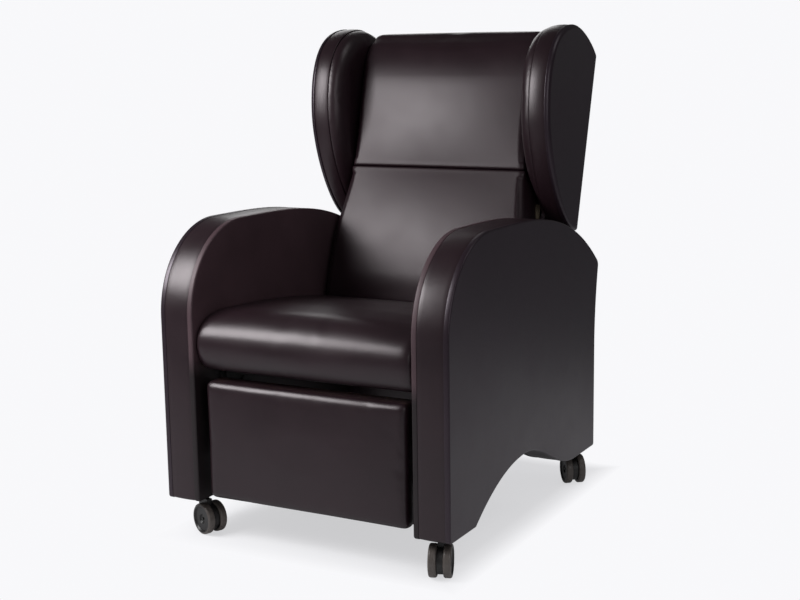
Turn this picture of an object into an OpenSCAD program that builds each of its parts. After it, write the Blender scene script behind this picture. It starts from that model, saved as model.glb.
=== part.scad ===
// Wing-back reflexology recliner on twin-wheel casters.
// X runs across the chair, with the sitter's left at +X. Y runs from the front to the back, Z up.
// Sizes along Y are counted from the front plane of the arms; placed() centres the whole on Y.

/* [Arms] */
// Width over the two arms
overall_w = 700; // [680:1:740]
// Thickness of an arm
arm_t = 84; // [76:1:100]
// Height of an arm at its crown
arm_h = 694; // [670:1:710]
// Depth of an arm at its top back corner
arm_d = 816; // [790:1:830]
// How much shallower an arm is at the foot than at its top back corner
arm_flare = 21; // [0:1:40]
// Radius of the front spring of the arm
arm_front_r = 200; // [150:1:240]
// Height of the top back corner
arm_corner_h = 534; // [500:1:560]
// Height of the feet of the sides above the floor
foot_h = 90; // [86:1:110]
// Rise of the arch between the feet
arch_rise = 90; // [40:1:110]
// Depth of the front foot
front_foot_d = 120; // [90:1:150]
// Depth of the back foot
back_foot_d = 130; // [90:1:160]
// Thickness of the side panels of an arm
panel_t = 12; // [8:1:16]
// Thickness of the padded band round an arm or a wing
band_t = 14; // [10:1:18]
// Rounding of the band's edges
band_r = 8; // [4:1:9]

/* [Seat] */
// Height of the seat's crown above the floor
seat_h = 512; // [500:1:530]
// Height of the underside of the seat's front roll
seat_low = 377; // [372:1:384]
// Depth of the seat cushion
seat_d = 518; // [500:1:519]
// Thickness of the seat cushion over its springs
seat_pad_t = 46; // [36:1:54]
// Depth of the front roll under the seat
seat_nose_d = 58; // [50:1:60]
// Height of the wooden seat rails
rail_h = 46; // [36:1:50]
// Thickness of the wooden seat rails
rail_t = 22; // [18:1:26]
// Wire thickness of the seat springs
spring_wire = 3.6; // [3:0.1:4]

/* [Back] */
// Lean of the backrest from upright
back_lean = 16.2; // [12:0.1:18]
// Height at which the back surface meets the seat
back_root_h = 470; // [460:1:480]
// Gap between the seat cushion and the back surface there
seat_back_gap = 12; // [10:1:20]
// Thickness of the whole backrest
back_t = 182; // [170:1:190]
// Thickness of the back pads
back_pad_t = 94; // [80:1:95]
// Length of the lumbar pad above the seat
lumbar_l = 322; // [300:1:340]
// Length of the backrest above the seat
back_l = 673; // [660:1:684]
// Thickness of a wing
wing_t = 50; // [44:1:56]
// Distance from the outer face of an arm in to a wing
wing_set = 33; // [25:1:40]
// Height of the foot of a wing above the arm's crown behind it
wing_gap = 9; // [6:1:20]
// How far a wing stands above the backrest
wing_over = 1; // [0:1:12]
// Reach of a wing in front of the back surface
wing_reach = 78; // [60:1:85]

/* [Footrest] */
// Gap between the footrest panel and an arm
footrest_side_gap = 17; // [14:1:26]
// Setback of the footrest from the front of the arms
footrest_set = 12; // [8:1:16]
// Lowest edge of the footrest
footrest_low = 93; // [90:1:110]
// Top edge of the footrest
footrest_top = 362; // [350:1:364]
// Thickness of the footrest pad
footrest_pad_t = 37; // [30:1:40]
// Thickness of the footrest board
footrest_board_t = 18; // [15:1:20]
// Length of the swinging cranks
crank_l = 130; // [120:1:134]
// Thickness of the linkage bars
bar_t = 4; // [3:0.1:4]
// Width of the linkage bars
bar_w = 18; // [14:1:20]

/* [Casters] */
// Radius of a caster wheel
wheel_r = 35; // [30:1:36]
// Width of a caster wheel
wheel_w = 17; // [14:1:20]
// Trail of the wheels behind the swivel
caster_trail = 24; // [20:1:26]
// Distance from the outer face of an arm in to a swivel
caster_in = 50; // [34:1:54]
// Distance from the front of an arm to its front swivel
caster_front_y = 62; // [60:1:80]
// Distance from the foot's back face to its back swivel
caster_back_y = 32; // [28:1:60]

/* [Hidden] */

$fn = 48;

// Colours
vinyl = "#2c2729";
side_vinyl = "#332e33";
wood = "#c9a36a";
ply = "#b98f58";
steel = "#9a9da1";
dark_steel = "#4a4c50";
webbing_colour = "#6b5b45";
wheel_grey = "#77726f";
plastic_black = "#242325";

// One overrun serves all cuts
over = 1;
// Running clearance of a pivot, on its radius
fit = 0.05;
// Gap beside a part that moves
gap = 0.4;
// Gap between a soft piece and what lies next to it
soft_gap = 0.3;

// Depth from the front of the arms to the middle of the chair
middle_y = 442;

// Arm, worked out from its sizes
half_w = overall_w / 2;
arm_in = half_w - arm_t;
frame_in = arm_in + panel_t;
frame_out = half_w - panel_t;
foot_back_y = arm_d - arm_flare;
corner_core_r = 6;
corner_r = band_t + corner_core_r;
crown_power = 3.4;
flare_start_h = 330;
arch_peak_share = 0.47;
arch_peak_y = foot_back_y * arch_peak_share;
edge_r = 5;
hole_r = 44;
hole_first_y = 132;
hole_last_y = 151;
hole_low_z = 300;
hole_high_z = 424;
hole_count = 5;
hole_pitch_y = (foot_back_y - hole_first_y - hole_last_y) / (hole_count - 1);

// Backrest, in its own leaning frame: x across, y away from the sitter, z up the slope
pad_low = -33;
pad_side_gap = 8;
pad_low_half_w = arm_in - pad_side_gap;
pad_top_in = 38;
pad_narrow_from = 165;
pad_crown = 10;
pad_r = 20;
seam_r = 8;
pad_low_r = 10;
seam_gap = 3;
head_roll_r = 78;
head_top_in = 45;
post_w = 36;
post_d = 40;
post_low = -50;
post_under = 73;
post_high = back_l - post_under;
post_in = 17;
strap_w = 50;
strap_t = 1.6;
strap_count = 6;
strap_first = 40;
strap_last = 80;
strap_pitch = (post_high - strap_first - strap_last) / (strap_count - 1);
cover_t = 12;
cover_low = -130;
wing_half_w = half_w - wing_set;
wing_in = wing_half_w - wing_t;
wing_band_out = wing_half_w - panel_t;
pad_top_half_w = wing_in - pad_top_in;
head_top_half_w = wing_in - head_top_in;
post_out = wing_in - post_in;
back_root_d = seat_d + seat_back_gap;

// Corners and handles of the wing's outline, as shares of its depth and of its length
wing_heel_shares = [1, 0];
wing_tip_shares = [0.916, -0.006];
wing_low_reach_shares = [0.627, -0.022];
wing_low_rise_shares = [0.123, 0.256];
wing_widest_shares = [0, 0.495];
wing_high_rise_shares = [-0.129, 0.744];
wing_high_reach_shares = [-0.036, 0.929];
wing_top_shares = [0.407, 1];
wing_crown_reach_shares = [0.576, 1.024];
wing_crown_fall_shares = [0.885, 0.984];
wing_back_shares = [1, 0.931];

// Recline pivot, behind and below the foot of the back surface
pivot_behind = 55;
pivot_below = 75;
pivot_y = back_root_d + pivot_behind;
pivot_z = back_root_h - pivot_below;
pivot_r = 6;
bracket_t = 4;
bracket_boss_r = 15;
spacer_r = 10;

// Mechanism plates and the layers of the linkage, counted inwards from the arm
plate_t = 4;
plate_in = arm_in - plate_t;
layer_gap = 0.4;
layer_1 = plate_in - 2 * layer_gap - bar_t;
layer_2 = layer_1 - layer_gap - bar_t;
layer_3 = layer_2 - layer_gap - bar_t;
pin_r = 4;
boss_r = bar_w / 2 + 1;
plate_rail_gap = 2;
plate_h = 35;
plate_top = seat_low - plate_rail_gap;
plate_low = plate_top - plate_h;

// Linkage at rest, in depth and height. The rear crank turns about crank_pivot and carries the
// bar at knee. Bars that face each other are equal and parallel, so every angle is the swing.
swing = 90;
footrest_w = 2 * (arm_in - footrest_side_gap);
board_front = footrest_set + footrest_pad_t;
board_back = board_front + footrest_board_t;
bracket_reach = 25;
bracket_drop = 44;
carrier_reach = [178, -86];
bracket_pivot = [board_back + bracket_reach, footrest_top - bracket_drop];
knee = bracket_pivot + carrier_reach;
crank_pivot = knee - crank_l * [cos(swing / 2), -sin(swing / 2)];
front_share = 0.35;
front_knee = knee + front_share * (bracket_pivot - knee);
front_pivot = crank_pivot + front_share * (bracket_pivot - knee);
stay_offset = [16.4, -47.2];
stay_knee = knee + stay_offset;
stay_pivot = bracket_pivot + stay_offset;
tube_offset = [30, -10];
tube_r = 8;
tube_wall = 2;
tube_place = knee + tube_offset;
flange_w = 26;
bracket_l = 164;
bracket_high = bracket_pivot.y + flange_w;
bracket_low = bracket_high - bracket_l;
plate_front = front_pivot.x - 2 * boss_r;
plate_lobe_low = crank_pivot.y - bar_w;
plate_back = pivot_y + bracket_boss_r + spacer_r;

// Casters
flange_t = 2;
socket_flange_r = 19;
socket_r = 8;
socket_l = 44;
stem_r = 5.4;
stem_l = 40;
collar_r = 12.5;
collar_h = 18;
web_w = 13;
web_r = 28;
axle_r = 3;
wheel_gap = 0.5;
rim_w = 6;
tread_r = 4;
dish = 3;
hub_r = 8;
front_left_angle = 200;
front_right_angle = 248;
rear_left_angle = 218;
rear_right_angle = 142;
caster_x = half_w - caster_in;
front_swivel_y = caster_front_y;
rear_swivel_y = foot_back_y - caster_back_y;

back_origin = [0, back_root_d, back_root_h];

// Shapes and lofts shared by the pieces

// Moves a piece from the front-plane frame to the middle of the chair's depth
module placed() {
    translate([0, -middle_y, 0]) children();
}

// Draws a left-hand piece at side 1 and its mirror image at side -1
module on_side(side) {
    scale([side, 1, 1]) children();
}

// Extrudes a shape drawn in depth and height from x0 to x1
module across(x0, x1) {
    translate([x0, 0, 0]) rotate([90, 0, 90]) linear_extrude(x1 - x0) children();
}

// A round bar along X at a point given in depth and height
module bar_x(p, r, x0, x1) {
    translate([x0, p.x, p.y]) rotate([0, 90, 0]) cylinder(r = r, h = x1 - x0);
}

// The leaning frame of the backrest
module in_back() {
    translate(back_origin) rotate([-back_lean, 0, 0]) children();
}

// A point given in depth and height, as depth and height in the leaning frame
function leaning(p) = let(d = p - [back_root_d, back_root_h])
    [d.x * cos(back_lean) - d.y * sin(back_lean), d.x * sin(back_lean) + d.y * cos(back_lean)];

// A cubic curve from a to d without its last point
function curve(a, b, c, d, n) = [for (i = [0 : n - 1]) let(t = i / n, k = 1 - t)
    k * k * k * a + 3 * k * k * t * b + 3 * k * t * t * c + t * t * t * d];

// An arc about a centre, from one angle to another
function arc(centre, r, from, to, n) =
    [for (i = [0 : n]) let(a = from + (to - from) * i / n) centre + r * [cos(a), sin(a)]];

function unit(v) = v / norm(v);
function out_of(p, q) = let(e = unit(q - p)) [e.y, -e.x];

// An outline drawn anticlockwise, moved inwards by d
function inset(pts, d) = let(n = len(pts)) [for (i = [0 : n - 1])
    let(a = out_of(pts[(i + n - 1) % n], pts[i]), b = out_of(pts[i], pts[(i + 1) % n]),
        m = unit(a + b)) pts[i] - d * m / (m * a)];

// An outline that starts k points further on
function turned(pts, k) = let(n = len(pts)) [for (i = [0 : n - 1]) pts[(i + k) % n]];

function flat(rows) = [for (row = rows) for (p = row) p];

// Sides between rows of points, each row anticlockwise seen from the last row's end
function side_faces(rows, n, closed) = [for (j = [0 : rows - (closed ? 1 : 2)]) for (i = [0 : n - 1])
    let(k = (j + 1) % rows, a = j * n + i, b = j * n + (i + 1) % n, c = k * n + (i + 1) % n,
        d = k * n + i) each [[a, d, c], [a, c, b]]];

// A solid through rows of points, with flat ends
module loft(rows) {
    n = len(rows[0]);
    m = len(rows);
    polyhedron(points = flat(rows), faces = concat(side_faces(m, n, false),
        [[for (i = [0 : n - 1]) i]], [[for (i = [0 : n - 1]) m * n - 1 - i]]));
}

// A closed band through rows of points
module hoop(rows) {
    polyhedron(points = flat(rows), faces = side_faces(len(rows), len(rows[0]), true));
}

// An outline in depth and height set at x
function at_x(pts, x) = [for (p = pts) [x, p.x, p.y]];

// A padded board between x0 and x1 whose edge at x1 is rounded
module edged_board(pts, x0, x1, r) {
    loft(concat([at_x(pts, x0)], [for (a = [0 : 30 : 90])
        at_x(inset(pts, r * (1 - cos(a))), x1 - r * (1 - sin(a)))]));
}

// A padded band that follows an outline between x0 and x1
module padded_band(pts, x0, x1, t, r) {
    hoop(concat([at_x(inset(pts, t), x0)],
        [for (a = [0 : 30 : 90]) at_x(inset(pts, r * (1 - sin(a))), x0 + r * (1 - cos(a)))],
        [for (a = [90 : -30 : 0]) at_x(inset(pts, r * (1 - sin(a))), x1 - r * (1 - cos(a)))],
        [at_x(inset(pts, t), x1)]));
}

// Arm outline

function arch_front_z(y) = foot_h + arch_rise
    * (1 - pow((arch_peak_y - y) / (arch_peak_y - front_foot_d), 2));
function arch_back_z(y) = foot_h + arch_rise / 2
    * (1 + cos(180 * (y - arch_peak_y) / (foot_back_y - back_foot_d - arch_peak_y)));
// Where a crown of a given slope leaves the back corner, and the slope that it then has there
function corner_point(slope) = [arm_d - corner_r, arm_corner_h] + corner_r * [sin(slope), cos(slope)];
function crown_slope(e) = atan(crown_power * (arm_h - e.y) / (e.x - arm_front_r));
crown_end_slope = crown_slope(corner_point(crown_slope(corner_point(0))));
crown_end = corner_point(crown_end_slope);
function crown_z(y) = arm_h - (arm_h - crown_end.y)
    * pow((y - arm_front_r) / (crown_end.x - arm_front_r), crown_power);

arch_points = concat(
    [for (i = [0 : 7]) let(y = front_foot_d + (arch_peak_y - front_foot_d) * i / 8)
        [y, arch_front_z(y)]],
    [for (i = [0 : 8]) let(y = arch_peak_y + (foot_back_y - back_foot_d - arch_peak_y) * i / 8)
        [y, arch_back_z(y)]]);
flare_points = [for (i = [0 : 4]) let(s = i / 4)
    [foot_back_y + arm_flare * s * s, flare_start_h + (arm_corner_h - flare_start_h) * s]];
crown_points = [for (i = [0 : 9]) let(y = crown_end.x + (arm_front_r - crown_end.x) * i / 10)
    [y, crown_z(y)]];
arm_ring = concat([[0, foot_h]], arch_points, [[foot_back_y, foot_h]], flare_points,
    [corner_point((90 + crown_end_slope) / 2)], crown_points,
    arc([arm_front_r, arm_h - arm_front_r], arm_front_r, 90, 180, 9));
// It starts on the crown, from where every other point can be seen
arm_outline = turned(arm_ring, len(arm_ring) - 15);

// Wing outline in the leaning frame, and its edge from the low tip round the front to the back

wing_low_l = (crown_z(back_root_d + back_t) + wing_gap - back_root_h + back_t * sin(back_lean))
    / cos(back_lean);
wing_l = back_l + wing_over - wing_low_l;

function wing_point(shares) = [-wing_reach + shares.x * (back_t + wing_reach),
    wing_low_l + shares.y * wing_l];
function wing_curve(a, b, c, d, n) =
    curve(wing_point(a), wing_point(b), wing_point(c), wing_point(d), n);

wing_edge = concat(
    wing_curve(wing_tip_shares, wing_low_reach_shares, wing_low_rise_shares, wing_widest_shares, 8),
    wing_curve(wing_widest_shares, wing_high_rise_shares, wing_high_reach_shares, wing_top_shares, 8),
    wing_curve(wing_top_shares, wing_crown_reach_shares, wing_crown_fall_shares, wing_back_shares, 4));
wing_outline = concat([wing_point(wing_heel_shares), wing_point(wing_back_shares)],
    [for (i = [len(wing_edge) - 1 : -1 : 0]) wing_edge[i]]);

// Half width of the back pads at a height up the slope
function pad_half_w(u) = u < pad_narrow_from ? pad_low_half_w
    : u < lumbar_l
    ? pad_low_half_w + (pad_top_half_w - pad_low_half_w) * (u - pad_narrow_from)
        / (lumbar_l - pad_narrow_from)
    : pad_top_half_w + (head_top_half_w - pad_top_half_w) * (u - lumbar_l) / (back_l - lumbar_l);

// One level of a back pad: a bulged front with rounded corners and a flat back
function pad_level(u, w, front, back, r, crown) = [for (p = concat([[w, back]],
    [[-w, back]], [for (a = [180 : 30 : 270]) [-w + r + r * cos(a), front + r + r * sin(a)]],
    [for (i = [1 : 5]) let(x = (w - r) * (i / 3 - 1)) [x, front - crown * (1 - pow(x / (w - r), 2))]],
    [for (a = [270 : 30 : 360]) [w - r + r * cos(a), front + r + r * sin(a)]])) [p.x, p.y, u]];

// Arms and sides

module side_frame() {
    sheet_outline = inset(arm_outline, band_t);
    color(ply) placed() difference() {
        across(frame_in, frame_out) difference() {
            polygon(sheet_outline);
            for (i = [0 : hole_count - 1]) {
                translate([hole_first_y + i * hole_pitch_y, hole_low_z]) circle(r = hole_r);
                translate([hole_first_y + i * hole_pitch_y, hole_high_z]) circle(r = hole_r);
            }
        }
        socket_holes();
    }
}

module socket_holes() {
    for (y = [front_swivel_y, rear_swivel_y])
        translate([caster_x, y, foot_h - over])
            cylinder(r = socket_r + fit, h = socket_l + over + fit);
}

module outer_panel() {
    color(side_vinyl) placed() edged_board(arm_outline, frame_out, half_w, edge_r);
}

module inner_panel() {
    color(side_vinyl) placed() scale([-1, 1, 1])
        edged_board(arm_outline, -frame_in, -arm_in, edge_r);
}

module arm_band() {
    color(vinyl) placed() difference() {
        padded_band(arm_outline, frame_in, frame_out, band_t, band_r);
        socket_holes();
    }
}

// Seat

// A rail between the arms
module rail(y, low, h) {
    placed() translate([-arm_in, y, low]) cube([2 * arm_in, rail_t, h]);
}

base_rail_behind = 70;
base_rail_y = pivot_y + base_rail_behind;
base_rail_low = 150;
base_rail_h = 112;
rail_top = seat_low + rail_h;
front_rail_y = seat_nose_d + soft_gap;
rear_rail_y = seat_d - rail_t - seat_nose_d / 2;
spring_count = 5;
spring_side = 74;
spring_pitch = 2 * (arm_in - spring_side) / (spring_count - 1);
spring_turns = 12;
spring_half_w = 22;

// One zig-zag spring, as the outline of its wire seen from above
module zigzag() {
    y0 = front_rail_y + rail_t / 2;
    step = (rear_rail_y - front_rail_y) / spring_turns;
    for (i = [0 : spring_turns - 1]) {
        turn = i % 2 == 0 ? 1 : -1;
        translate([-spring_half_w, y0 + i * step - spring_wire / 2])
            square([2 * spring_half_w, spring_wire]);
        translate([turn * spring_half_w, y0 + i * step + step / 2]) difference() {
            circle(d = step + spring_wire);
            circle(d = step - spring_wire);
            translate([turn > 0 ? -step : 0, -step]) square([step, 2 * step]);
        }
    }
    translate([-spring_half_w, y0 + spring_turns * step - spring_wire / 2])
        square([2 * spring_half_w, spring_wire]);
}

module seat_springs() {
    color(dark_steel) placed() for (i = [0 : spring_count - 1])
        translate([(i - (spring_count - 1) / 2) * spring_pitch, 0, rail_top])
            linear_extrude(spring_wire) zigzag();
}

seat_side_gap = 2;
seat_half_w = arm_in - seat_side_gap;
seat_under = rail_top + spring_wire + soft_gap;
seat_rear_drop = 8;
seat_rear_top = seat_under + seat_pad_t - seat_rear_drop;
nose_share = 2 / 3;
seat_crest_y = 112;
seat_roll_y = 84;
seat_crown = 8;
seat_end_l = 16;
seat_end_in = 7;

// One section of the seat cushion, anticlockwise seen from the left: the underside of the roll,
// the step over the rail, the flat underside, the back, the top and the front roll
function seat_section(share) = let(
    top = seat_h - seat_crown * (1 - share),
    mid = (top + seat_low) / 2,
    half = (top - seat_low) / 2,
    rear = seat_d - edge_r)
    concat([[seat_nose_d / 2, seat_low], [seat_nose_d, seat_low], [seat_nose_d, seat_under]],
        [for (i = [1 : 6]) [seat_nose_d + (seat_d - seat_nose_d) * i / 6, seat_under]],
        [[seat_d, seat_rear_top - edge_r], [rear, seat_rear_top]],
        [for (i = [1 : 6]) let(s = i / 7)
            [rear - (rear - seat_crest_y) * s, seat_rear_top + (top - seat_rear_top) * sin(90 * s)]],
        [for (a = [90 : 15 : 240])
            [(a < 180 ? seat_roll_y : nose_share * seat_nose_d) * (1 + cos(a)), mid + half * sin(a)]]);

// Stations across a piece of half width w: its place, and how far its section is drawn in there
function stations(w, l, d, n) = concat([for (a = [0 : 30 : 90]) [-w + l * (1 - cos(a)), d * (1 - sin(a))]],
    [for (i = [1 : n]) [(w - l) * (2 * i / (n + 1) - 1), 0]],
    [for (a = [90 : -30 : 0]) [w - l * (1 - cos(a)), d * (1 - sin(a))]]);

module seat_cushion() {
    color(vinyl) placed() loft([for (s = stations(seat_half_w, seat_end_l, seat_end_in, 7))
        at_x(inset(seat_section(1 - pow(s.x / seat_half_w, 2)), s.y), s.x)]);
}

// Mechanism plates

module mechanism_plate() {
    color(dark_steel) placed() difference() {
        across(plate_in, arm_in) difference() {
            polygon([[plate_front, plate_low], [front_pivot.x + boss_r, plate_lobe_low],
                [crank_pivot.x + 2 * boss_r, plate_lobe_low], [knee.x, plate_low],
                [pivot_y - 2 * bracket_boss_r, plate_low], [plate_back, plate_top],
                [plate_back, pivot_z + bracket_boss_r + spacer_r],
                [pivot_y - bracket_boss_r, pivot_z + bracket_boss_r + spacer_r],
                [pivot_y - 3 * bracket_boss_r, plate_top], [plate_front, plate_top]]);
            translate(front_pivot) circle(r = pin_r);
            translate(crank_pivot) circle(r = pin_r);
            translate([pivot_y, pivot_z]) circle(r = pivot_r);
        }
    }
}

module crank_pivot_pins() {
    color(steel) placed() for (side = [-1, 1]) on_side(side) {
        bar_x(front_pivot, pin_r, layer_1, arm_in);
        bar_x(crank_pivot, pin_r, layer_1, arm_in);
    }
}

module back_pivot_bolts() {
    color(steel) placed() for (side = [-1, 1]) on_side(side) {
        bar_x([pivot_y, pivot_z], pivot_r, post_out, arm_in);
        bar_x([pivot_y, pivot_z], spacer_r, post_out + bracket_t + gap, plate_in);
    }
}

// Backrest

module back_post() {
    color(wood) placed() in_back() translate([post_out - post_w, back_pad_t + strap_t, post_low])
        cube([post_w, post_d, post_high - post_low]);
}

module back_rail(low) {
    color(wood) placed() in_back()
        translate([post_w - post_out, back_pad_t + strap_t, low])
            cube([2 * (post_out - post_w), post_d, post_d]);
}

module back_webbing() {
    color(webbing_colour) placed() in_back() for (i = [0 : strap_count - 1])
        translate([-post_out, back_pad_t, strap_first + i * strap_pitch - strap_w / 2])
            cube([2 * post_out, strap_t, strap_w]);
}

// Rounded ends of a pad: how far the level lies from the end, and how far it is drawn in
function end_levels(r) = [for (a = [0 : 30 : 90]) [r * (1 - cos(a)), r * (1 - sin(a))]];

module lumbar_pad() {
    low = [for (e = end_levels(pad_low_r)) [pad_low + e.x, e.y]];
    mid = [for (i = [1 : 5]) [pad_low + pad_low_r + (lumbar_l - pad_low - pad_low_r - seam_r) * i / 6, 0]];
    high = [for (i = [3 : -1 : 0]) let(e = end_levels(seam_r)[i]) [lumbar_l - e.x, e.y]];
    color(vinyl) placed() in_back() loft([for (s = concat(low, mid, high))
        pad_level(s.x, pad_half_w(s.x) - s.y, s.y, back_pad_t, pad_r,
            pad_crown * sin(180 * (s.x - pad_low) / (lumbar_l - pad_low)))]);
}

head_low = lumbar_l + seam_gap;
head_back_step = post_high + soft_gap;
head_roll_from = back_l - head_roll_r;

// How far the front of the head pad is drawn in at a height up the slope, over its top roll
function head_roll(u) = u < head_roll_from ? 0
    : head_roll_r - sqrt(pow(head_roll_r, 2) - pow(u - head_roll_from, 2));

module head_pad() {
    thick = back_t - cover_t - soft_gap;
    cap = head_back_step + pad_r;
    low = [for (e = end_levels(seam_r)) [head_low + e.x, e.y, back_pad_t]];
    mid = [for (u = concat([for (i = [1 : 4])
        head_low + seam_r + (head_roll_from - head_low - seam_r) * i / 4], [head_back_step]))
        [u, head_roll(u), back_pad_t]];
    high = concat([[cap, head_roll(cap), thick - head_roll(cap) / 2]],
        [for (i = [2 : -1 : 0]) let(e = end_levels(head_roll_r)[i])
        [back_l - e.x, e.y, thick - e.y / 2]]);
    color(vinyl) placed() in_back() loft([for (s = concat(low, mid, high))
        pad_level(s.x, pad_half_w(s.x) - s.y / 6, s.y, s.z, pad_r,
            pad_crown * sin(180 * min(1, (s.x - head_low) / (back_l - head_low))))]);
}

module wing_panel() {
    color(side_vinyl) placed() in_back() edged_board(wing_outline, wing_band_out, wing_half_w, edge_r);
}

module wing_band() {
    color(vinyl) placed() in_back() padded_band(wing_outline, wing_in, wing_band_out, band_t, band_r);
}

wing_pad_start = 38;
wing_pad_end = 19;
wing_pad_low = wing_low_l + wing_pad_start;
wing_pad_high = wing_low_l + wing_l - wing_pad_end;
wing_pad_swell = 90;

// Front and back of the space inside a wing's band, up the slope
wing_inside = inset(wing_outline, band_t + soft_gap);
wing_inside_front = [for (i = [len(wing_inside) - 1 : -1 : 5]) [wing_inside[i].y, wing_inside[i].x]];
wing_inside_back = [for (i = [0 : 5]) [wing_inside[i].y, wing_inside[i].x]];

// One level of the pad on the inside of a wing, which thickens towards the back pads
function wing_pad_level(u, reach) = let(front = lookup(u, wing_inside_front),
    back = min(reach, lookup(u, wing_inside_back)),
    inner = pad_half_w(u) + soft_gap,
    swell = min(wing_pad_swell, min(back, back_pad_t) - front - edge_r))
    [for (s = concat([[wing_band_out, back], [inner, back]],
        [for (i = [5 : -1 : 0]) let(t = i / 5)
            [wing_in + (inner - wing_in) * sin(90 * t), front + swell * t]],
        [[wing_band_out, front]])) [s.x, s.y, u]];

module wing_pad() {
    step = head_back_step;
    color(vinyl) placed() in_back() loft(concat(
        [for (i = [0 : 9]) wing_pad_level(wing_pad_low + (step - wing_pad_low) * i / 9, back_pad_t)],
        [for (i = [1 : 4]) wing_pad_level(step + (wing_pad_high - step) * i / 4, back_t)]));
}

module rear_cover() {
    narrow = pad_low_half_w;
    wide = wing_in - 2 * soft_gap;
    cover_wide_from = wing_low_l + 4 * soft_gap;
    color(side_vinyl) placed() in_back() translate([0, back_t, 0]) rotate([90, 0, 0])
        linear_extrude(cover_t) polygon([[-narrow, cover_low], [narrow, cover_low],
            [narrow, cover_wide_from], [wide, cover_wide_from], [wide, post_high + post_d / 2],
            [-wide, post_high + post_d / 2], [-wide, cover_wide_from], [-narrow, cover_wide_from]]);
}

module back_bracket() {
    c = leaning([pivot_y, pivot_z]);
    front = back_pad_t + strap_t;
    high = 4 * post_d;
    color(dark_steel) placed() in_back() across(post_out, post_out + bracket_t) difference() {
        union() {
            translate(c) circle(r = bracket_boss_r);
            polygon([[c.x, c.y - bracket_boss_r], [front + post_d, c.y],
                [front + post_d, high], [front, high], [front, c.y + bracket_boss_r],
                [c.x, c.y + bracket_boss_r]]);
        }
        translate(c) circle(r = pivot_r + fit);
    }
}

// Footrest

board_margin = 5;

module footrest_board() {
    color(ply) placed() translate([-footrest_w / 2 + board_margin, board_front,
        footrest_low + board_margin]) cube([footrest_w - 2 * board_margin, footrest_board_t,
        footrest_top - footrest_low - 2 * board_margin]);
}

footrest_crown = 6;
footrest_r = 12;
footrest_end_in = 7;

// One section of the footrest pad, anticlockwise seen from the left
function footrest_section(bulge) = concat([[board_front, footrest_low]],
    [[board_front, footrest_top]],
    arc([footrest_set + footrest_r, footrest_top - footrest_r], footrest_r, 90, 180, 3),
    [for (i = [1 : 6]) let(s = i / 7) [footrest_set - bulge * sin(180 * s),
        footrest_top - footrest_r - (footrest_top - footrest_low - 2 * footrest_r) * s]],
    arc([footrest_set + footrest_r, footrest_low + footrest_r], footrest_r, 180, 270, 3));

module footrest_pad() {
    color(vinyl) placed() loft([for (s = stations(footrest_w / 2, footrest_r, footrest_end_in, 7))
        at_x(inset(footrest_section(footrest_crown * (1 - pow(2 * s.x / footrest_w, 2))), s.y), s.x)]);
}

// A flat bar through points given in depth and height, with a round boss at each
module flat_bar(points, bores, x0) {
    across(x0, x0 + bar_t) difference() {
        union() {
            for (p = points) translate(p) circle(r = boss_r);
            for (i = [0 : len(points) - 2]) let(d = points[i + 1] - points[i])
                translate(points[i]) rotate(atan2(d.y, d.x)) translate([0, -bar_w / 2])
                    square([norm(d), bar_w]);
        }
        for (b = bores) translate(b) circle(r = pin_r + fit);
    }
}

module rear_crank() {
    color(steel) placed() flat_bar([crank_pivot, knee, tube_place, knee, stay_knee],
        [crank_pivot, knee, stay_knee], layer_1);
}

module front_crank() {
    color(steel) placed() flat_bar([front_pivot, front_knee], [front_pivot, front_knee], layer_1);
}

module carrier_bar() {
    color(steel) placed() flat_bar([knee, bracket_pivot], [knee, front_knee, bracket_pivot], layer_2);
}

module stay_bar() {
    color(steel) placed() {
        flat_bar([stay_knee, stay_pivot], [], layer_2);
        bar_x(stay_knee, pin_r, layer_2, layer_1 + bar_t);
        bar_x(stay_pivot, pin_r, layer_3, layer_2 + bar_t);
    }
}

module carrier_pins() {
    color(steel) placed() for (side = [-1, 1]) on_side(side) {
        bar_x(knee, pin_r, layer_2, layer_1 + bar_t);
        bar_x(front_knee, pin_r, layer_2, layer_1 + bar_t);
        bar_x(bracket_pivot, pin_r, layer_3, layer_2 + bar_t);
    }
}

module torque_tube() {
    color(steel) placed() difference() {
        bar_x(tube_place, tube_r, -layer_1, layer_1);
        bar_x(tube_place, tube_r - tube_wall, -layer_1 - over, layer_1 + over);
    }
}

module footrest_bracket() {
    color(dark_steel) placed() {
        across(layer_3, layer_3 + bar_t) difference() {
            union() {
                polygon([[board_back, bracket_low], [board_back + boss_r, bracket_low],
                    [stay_pivot.x + boss_r, stay_pivot.y - boss_r / 2],
                    [stay_pivot.x + boss_r, stay_pivot.y + boss_r],
                    [bracket_pivot.x + boss_r, bracket_pivot.y], [bracket_pivot.x, bracket_high],
                    [board_back, bracket_high]]);
                translate(stay_pivot) circle(r = boss_r);
                translate(bracket_pivot) circle(r = boss_r);
            }
            translate(stay_pivot) circle(r = pin_r + fit);
            translate(bracket_pivot) circle(r = pin_r + fit);
        }
        translate([layer_3 - flange_w, board_back, bracket_low])
            cube([flange_w, bar_t, bracket_high - bracket_low]);
    }
}

// Casters

caster_drop = foot_h - flange_t;

module caster_sockets() {
    color(steel) placed() for (x = [-caster_x, caster_x])
        for (y = [front_swivel_y, rear_swivel_y]) translate([x, y, 0]) difference() {
            union() {
                translate([0, 0, caster_drop]) cylinder(r = socket_flange_r, h = flange_t);
                translate([0, 0, foot_h]) cylinder(r = socket_r, h = socket_l);
            }
            translate([0, 0, caster_drop - over]) cylinder(r = stem_r + fit, h = stem_l + 2 * over);
        }
}

// Places a caster drawn with its swivel on Z and its wheels trailing towards +Y
module at_swivel(x, y, angle) {
    placed() translate([x, y, 0]) rotate([0, 0, angle]) children();
}

axle_place = [caster_trail, wheel_r];

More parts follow.
